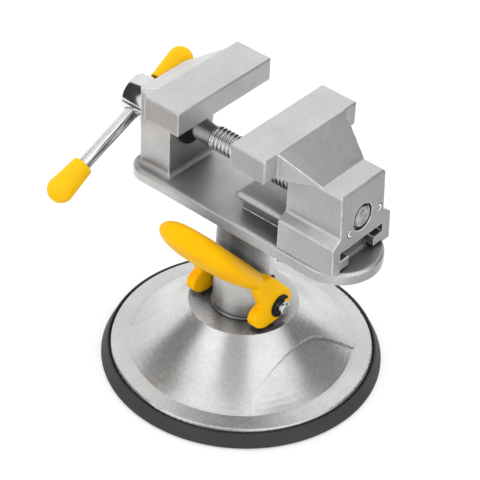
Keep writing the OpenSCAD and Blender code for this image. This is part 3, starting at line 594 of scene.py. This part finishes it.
def arm_outline():
    boss = (BOSS_RISE * math.sin(UP), BOSS_RISE * math.cos(UP))
    lean, fan = belt(ARM_C, ARM_R)
    return arc(boss, BOSS_R, lean + fan, lean - fan + 360, BOSS_STEPS) + arc(
        ARM_C, ARM_R, lean - fan, lean + fan)


def cam_point(angle):
    """Involute that drops away from the pin at CAM_RATE for each radian."""
    t = math.radians(angle)
    h = CAM_R + CAM_RATE * t
    return (h * math.sin(t) + CAM_RATE * math.cos(t), CAM_RATE * math.sin(t) - h * math.cos(t))


def lobe_outline():
    """Cam and rounded lobe, drawn as the lever stands raised and turned back."""
    tip = cam_point(UP_ANGLE)
    tip = (tip[0] + LOBE_PAST * math.cos(UP), tip[1] + LOBE_PAST * math.sin(UP))
    lobe = (tip[0] - LOBE_R * math.sin(UP), tip[1] + LOBE_R * math.cos(UP))
    lean, fan = belt(lobe, LOBE_R)
    cam = [cam_point(UP_ANGLE * i / CAM_STEPS) for i in range(1, CAM_STEPS + 1)]
    outline = [(0, 0), (0, -CAM_R)] + cam + arc(
        lobe, LOBE_R, UP_ANGLE - 90, lean + fan) + [polar((0, 0), BOSS_R, lean + fan)]
    return [(x * math.cos(UP) + y * math.sin(UP), -x * math.sin(UP) + y * math.cos(UP))
            for x, y in outline]


def ears():
    return [loft("ear", [[lever_point(x, u, h) for u, h in outline] for x in sides])
            for outline in (arm_outline(), lobe_outline())
            for sides in ((EAR_IN, EAR_OUT), (-EAR_OUT, -EAR_IN))]


def paddle():
    rings = []
    for k in range(PADDLE_RINGS):
        t = 1 - (1 - k / PADDLE_RINGS) ** 2
        fade = (1 - t ** TIP_LATE) ** TIP_BLUNT
        width = run(t, *PADDLE_W_SHARES) * PADDLE_HALF_W * fade
        thick = run(t, *PADDLE_T_SHARES) * PADDLE_HALF_T * math.sqrt(fade)
        u = PADDLE_FROM + t * (PADDLE_TO - PADDLE_FROM)
        ring = []
        for a in angles(PADDLE_AROUND):
            c, s = math.cos(a), math.sin(a)
            x = width * math.copysign(abs(c) ** (2 / PADDLE_SQUARENESS), c)
            ring.append(lever_point(x, u, run(t, *PADDLE_H) + thick * s))
        rings.append(ring)
    rings.append([lever_point(0, PADDLE_TO, PADDLE_H[-1])])
    return loft("paddle", rings)


def lever_piece():
    ob = join("lever_skin", ears() + [paddle()])
    skin(ob, MELT_VOXEL, MELT_RELAX)
    cut(ob, rod("neck_tool", (0, 0, PIVOT_Z - NECK_CUT_BELOW * MM),
                (0, 0, NECK_CUT_TOP * MM), NECK_CLEAR_R * MM, NECK_AROUND))
    cut(ob, rod("pin_tool", (-PIN_CUT_X * MM, 0, PIVOT_Z), (PIN_CUT_X * MM, 0, PIVOT_Z),
                PIN_CLEAR_R * MM, HOLE_AROUND))
    skin(ob, SKIN_VOXEL, SKIN_RELAX)
    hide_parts("suction_lever")
    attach(ob, "lever")
    ob.visible_glossy = False
    return ob


# Screw: head with its cross hole, journal, neck and a real thread, in millimetres

SCREW_R, NECK_R, HEAD_R, JOURNAL_R = 4.7, 4.3, 8.25, 4.75
# Stations along x, each with its radius: a rounded front edge, the barrel and a
# softened back edge.
HEAD_STATIONS = [(-56.9, 7.2), (-56.75, 7.6), (-56.45, 7.95), (-56.1, 8.16), (-55.7, HEAD_R),
                 (-44.2, HEAD_R), (-43.9, 8.16), (-43.7, 7.9)]
HEAD_SHARP, THREAD_SHARP = 38, 60
BAR_X, BAR_HOLE_R, BAR_CUT = -51.8, 2.775, 30
JOURNAL_FROM, RING_GROOVE, RING_GROOVE_R = -43.8, (-28.35, -27.25), 3.8
NECK_TO, THREAD_FROM, THREAD_TO = -16.6, -16.0, 51.2
PITCH, THREAD_DEPTH, THREAD_RUN_IN, END_CHAMFER = 1.75, 0.86, 1.6, 0.6
GROOVE_WIDE, GROOVE_BLUNT = 1.15, 0.9
RINGS_PER_TURN = 14
SCREW_AROUND = 64


def screw_point(x, r, t):
    return (x * MM, r * MM * math.cos(t), SCREW_Z + r * MM * math.sin(t))


def turned_rings(stations):
    return [[screw_point(x, r, t) for t in angles(SCREW_AROUND)] for x, r in stations]


def screw_head():
    ob = loft("screw_head", turned_rings(HEAD_STATIONS))
    reach = BAR_CUT * MM * Vector(JOINTS["handle_slide"]["axis"])
    mid = Vector((BAR_X * MM, 0, SCREW_Z))
    cut(ob, rod("bar_tool", mid - reach, mid + reach, BAR_HOLE_R * MM, HOLE_AROUND))
    return ob


def thread_r(x, turn):
    """Radius of the thread at x, where turn is the share of a full turn round its axis."""
    f = (x / PITCH - turn) % 1.0
    wave = GROOVE_WIDE * (0.5 - 0.5 * math.cos(2 * math.pi * f))
    run_in = min(1, max(0, (x - THREAD_FROM) / THREAD_RUN_IN))
    depth = THREAD_DEPTH * min(1, wave) ** GROOVE_BLUNT * run_in
    return min(SCREW_R - depth, SCREW_R - END_CHAMFER + max(0, THREAD_TO - x))


def thread_rings():
    length = THREAD_TO - THREAD_FROM
    steps = int(length / PITCH * RINGS_PER_TURN)
    rings = []
    for k in range(steps + 1):
        x = THREAD_FROM + length * k / steps
        rings.append([screw_point(x, thread_r(x, i / SCREW_AROUND), t)
                      for i, t in enumerate(angles(SCREW_AROUND))])
    return rings


def screw_shank():
    groove_from, groove_to = RING_GROOVE
    rings = turned_rings([
        (JOURNAL_FROM, JOURNAL_R), (groove_from, JOURNAL_R), (groove_from, RING_GROOVE_R),
        (groove_to, RING_GROOVE_R), (groove_to, NECK_R), (NECK_TO, NECK_R)])
    return loft("screw_thread", rings + thread_rings())


def screw_pieces():
    head, shank = screw_head(), screw_shank()
    for piece in (head, shank):
        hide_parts("jaw_screw")
        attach(piece, "screw")
    shade_smooth(head.data)
    head.data.set_sharp_from_angle(angle=math.radians(HEAD_SHARP))
    shank.data.set_sharp_from_angle(angle=math.radians(THREAD_SHARP))
    return head, shank


# Return spring: one wire, drawn at rest and carried with the base; nothing here squeezes it
# against its washer as the stem is lifted

SPRING_WIRE_R, SPRING_TURNS = 0.68, 4
SPRING_STEPS_PER_TURN, SPRING_AROUND = 48, 12


def spring_rings(r, low, high):
    """Rings of the wire round its helix, which has radius r and climbs from low to high."""
    steps = SPRING_TURNS * SPRING_STEPS_PER_TURN
    turn = 2 * math.pi * SPRING_TURNS
    rings = []
    for k in range(steps + 1):
        a = turn * k / steps
        out = Vector((math.cos(a), math.sin(a), 0))
        along = Vector((-turn * r * math.sin(a), turn * r * math.cos(a), high - low))
        over = along.normalized().cross(out)
        mid = r * out + Vector((0, 0, low + (high - low) * k / steps))
        rings.append([tuple(mid + SPRING_WIRE_R * MM * (math.cos(t) * out + math.sin(t) * over))
                      for t in angles(SPRING_AROUND)])
    return rings


def spring_piece():
    lo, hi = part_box("return_spring")
    wire = SPRING_WIRE_R * MM
    ob = loft("spring_coil", spring_rings((hi.x - lo.x) / 2 - wire, lo.z + wire, hi.z - wire))
    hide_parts("return_spring")
    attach(ob, "base")
    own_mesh(ob)
    return ob


# Stage and light

FLOOR_SIZE, FLOOR_Z = 8, -0.0002
FLOOR_TONE, FLOOR_GLOW = 0.7, 0.32
WORLD_LIGHT = 1.15
PANEL_GRID = 12

# Studio panels as parts of spheres round the object: name, azimuths at the foot and
# at the top, elevations, strength, radius in metres, and whether they light the object
# or only show in its gloss.
PANELS = [
    ("box_left", (-116, -78), (-116, -84), (6, 58), 1.45, 1.6, True),
    ("box_left_top", (-156, -92), (-168, -92), (60, 84), 1.3, 1.6, True),
    ("box_right", (-38, 14), (-38, 24), (14, 58), 1.4, 1.6, True),
    ("box_right_top", (-36, 40), (-34, 70), (58, 89), 1.5, 1.6, True),
    ("gap_mid", (-78, -40), (-84, -40), (6, 80), 0.45, 1.55, False),
    ("gap_top", (-88, -38), (-124, -36), (79, 89), 0.45, 1.55, False),
    ("card_left", (-162, -119), (-176, -137), (-1, 60), 0.05, 0.5, False),
    ("card_right", (20, 80), (42, 86), (-1, 58), 0.05, 0.45, False),
]

# Cards on the floor that only show in the gloss, as name, x and y from and to in
# metres, and strength: a grey one that the bars' near ends mirror, a bright one that
# the fixed jaw's back slope mirrors, and two that the block's near side and its end
# mirror.
FLOOR_CARDS = [
    ("floor_grey", -0.24, -0.03, -0.3, -0.126, 0.12),
    ("floor_bright", -0.5, -0.1, 0.03, 0.5, 1.3),
    ("floor_near", -0.03, 0.1, -0.3, -0.07, 0.55),
    ("floor_end", 0.07, 0.4, -0.07, 0.3, 0.5),
]


def make_light(ob, strength, diffuse):
    """Makes an object shine, unseen by the camera and without a shadow of its own."""
    m = bpy.data.materials.new(ob.name)
    m.use_nodes = True
    nt = m.node_tree
    nt.nodes.clear()
    shine = add(nt, "ShaderNodeEmission", Strength=strength)
    nt.links.new(shine.outputs[0], add(nt, "ShaderNodeOutputMaterial").inputs["Surface"])
    ob.data.materials.append(m)
    ob.visible_camera = False
    ob.visible_shadow = False
    ob.visible_diffuse = diffuse


def between(pair, share):
    return pair[0] * (1 - share) + pair[1] * share


def panel(name, foot, top, elevations, strength, radius, diffuse):
    """One of PANELS, whose values come in the same order."""
    verts, faces = [], []
    for j in range(PANEL_GRID + 1):
        t = j / PANEL_GRID
        el = math.radians(between(elevations, t))
        az0, az1 = (between(pair, t) for pair in zip(foot, top))
        for i in range(PANEL_GRID + 1):
            az = math.radians(az0 + (az1 - az0) * i / PANEL_GRID)
            verts.append((radius * math.cos(el) * math.cos(az),
                          radius * math.cos(el) * math.sin(az), radius * math.sin(el)))
    row = PANEL_GRID + 1
    for j in range(PANEL_GRID):
        for i in range(PANEL_GRID):
            a = j * row + i
            faces.append((a, a + 1, a + row + 1, a + row))
    make_light(mesh_object(name, verts, faces), strength, diffuse)


def floor_card(name, x0, x1, y0, y1, strength):
    """One of FLOOR_CARDS, just above the floor."""
    verts = [(x0, y0, MM), (x1, y0, MM), (x1, y1, MM), (x0, y1, MM)]
    make_light(mesh_object(name, verts, [(0, 1, 2, 3)]), strength, False)


def backdrop_seen(nt):
    """1 for the rays that show the white background: camera, glossy and transmission."""
    path = add(nt, "ShaderNodeLightPath")
    seen = math_node(nt, "MAXIMUM", path.outputs["Is Camera Ray"],
                     path.outputs["Is Glossy Ray"])
    return math_node(nt, "MAXIMUM", seen, path.outputs["Is Transmission Ray"])


def make_floor():
    bpy.ops.mesh.primitive_plane_add(size=FLOOR_SIZE, location=(0, 0, FLOOR_Z))
    floor = bpy.context.object
    floor.name = "floor"
    m, nt, bsdf = new_material("floor")
    feed(nt, bsdf.inputs["Base Color"], grey(FLOOR_TONE))
    feed(nt, bsdf.inputs["Emission Color"], grey(1))
    fill(bsdf, Roughness=1, Specular_IOR_Level=0)
    nt.links.new(remap(nt, backdrop_seen(nt), 0, 1, 0, FLOOR_GLOW),
                 bsdf.inputs["Emission Strength"])
    floor.data.materials.append(m)


def make_world():
    world = bpy.data.worlds.new("studio")
    bpy.context.scene.world = world
    world.use_nodes = True
    nt = world.node_tree
    background = nt.nodes["Background"]
    feed(nt, background.inputs["Color"], grey(1))
    nt.links.new(remap(nt, backdrop_seen(nt), 0, 1, WORLD_LIGHT, 1),
                 background.inputs["Strength"])


def make_stage():
    make_floor()
    make_world()
    for values in PANELS:
        panel(*values)
    for values in FLOOR_CARDS:
        floor_card(*values)


def paint(ob, material):
    ob.data.materials.clear()
    ob.data.materials.append(material)


make_camera()
make_stage()

bed_cast = cast_metal("bed_cast", rough=0.40, soft=0.7, grain=0.45, worn_highlight=1)
jaw_cast = cast_metal("jaw_cast", rough=0.40, soft=0.7, grain=0.45, worn_highlight=1,
                      mark_light_and_shade=crescents)
dome_cast = cast_metal("dome_cast", rough=0.25, soft=0.35, grain=0.5, grain_size=0.7,
                       wavy=0.02, shades=DOME_SHADES, mottle=0.12, gloss=0.76)
steel = chrome("steel", (0.55, 0.55, 0.56), rough=0.3)
screw_chrome = chrome("screw_chrome", (0.78, 0.78, 0.79), rough=0.12, reach=1.3,
                      closed=0.08, sawn_from=51.1)
bar_chrome = chrome("bar_chrome", (0.74, 0.74, 0.75), rough=0.12)
pin_metal = chrome("pin_metal", (0.75, 0.75, 0.76), rough=0.2)
black_clip = plastic("black_clip", tone=(0.02, 0.02, 0.022), shade=(0.012, 0.012, 0.014),
                     rough=0.3, soft=0.15)
lever_yellow = plastic("lever_yellow", tone=(1.0, 0.54, 0.003), shade=(1.0, 0.48, 0.002),
                       rough=0.4, soft=0.3)
cap_yellow = plastic("cap_yellow", tone=(1.0, 0.56, 0.012), shade=(0.97, 0.52, 0.01),
                     rough=0.3, soft=0.4)
pad_rubber = rubber("pad_rubber")

LOOKS = {
    "suction_pad": pad_rubber, "pad_hub": pad_rubber,
    "base_dome": dome_cast, "vise_bed": bed_cast, "moving_jaw": jaw_cast,
    "pull_stem": steel, "return_spring": steel, "spring_washer": steel,
    "bed_bolt": steel, "bed_washer": steel, "thrust_washer": steel,
    "pivot_pin": pin_metal, "t_bar": bar_chrome, "jaw_screw": screw_chrome,
    "clip_left": black_clip, "clip_right": black_clip, "screw_clip": black_clip,
    "suction_lever": lever_yellow, "bar_cap_near": cap_yellow, "bar_cap_far": cap_yellow,
}
for node_name, node in NODES.items():
    paint(node, LOOKS[node_name])

paint(lever_piece(), lever_yellow)
paint(spring_piece(), steel)
for piece in screw_pieces():
    paint(piece, screw_chrome)

bpy.context.scene.view_settings.view_transform = "Standard"
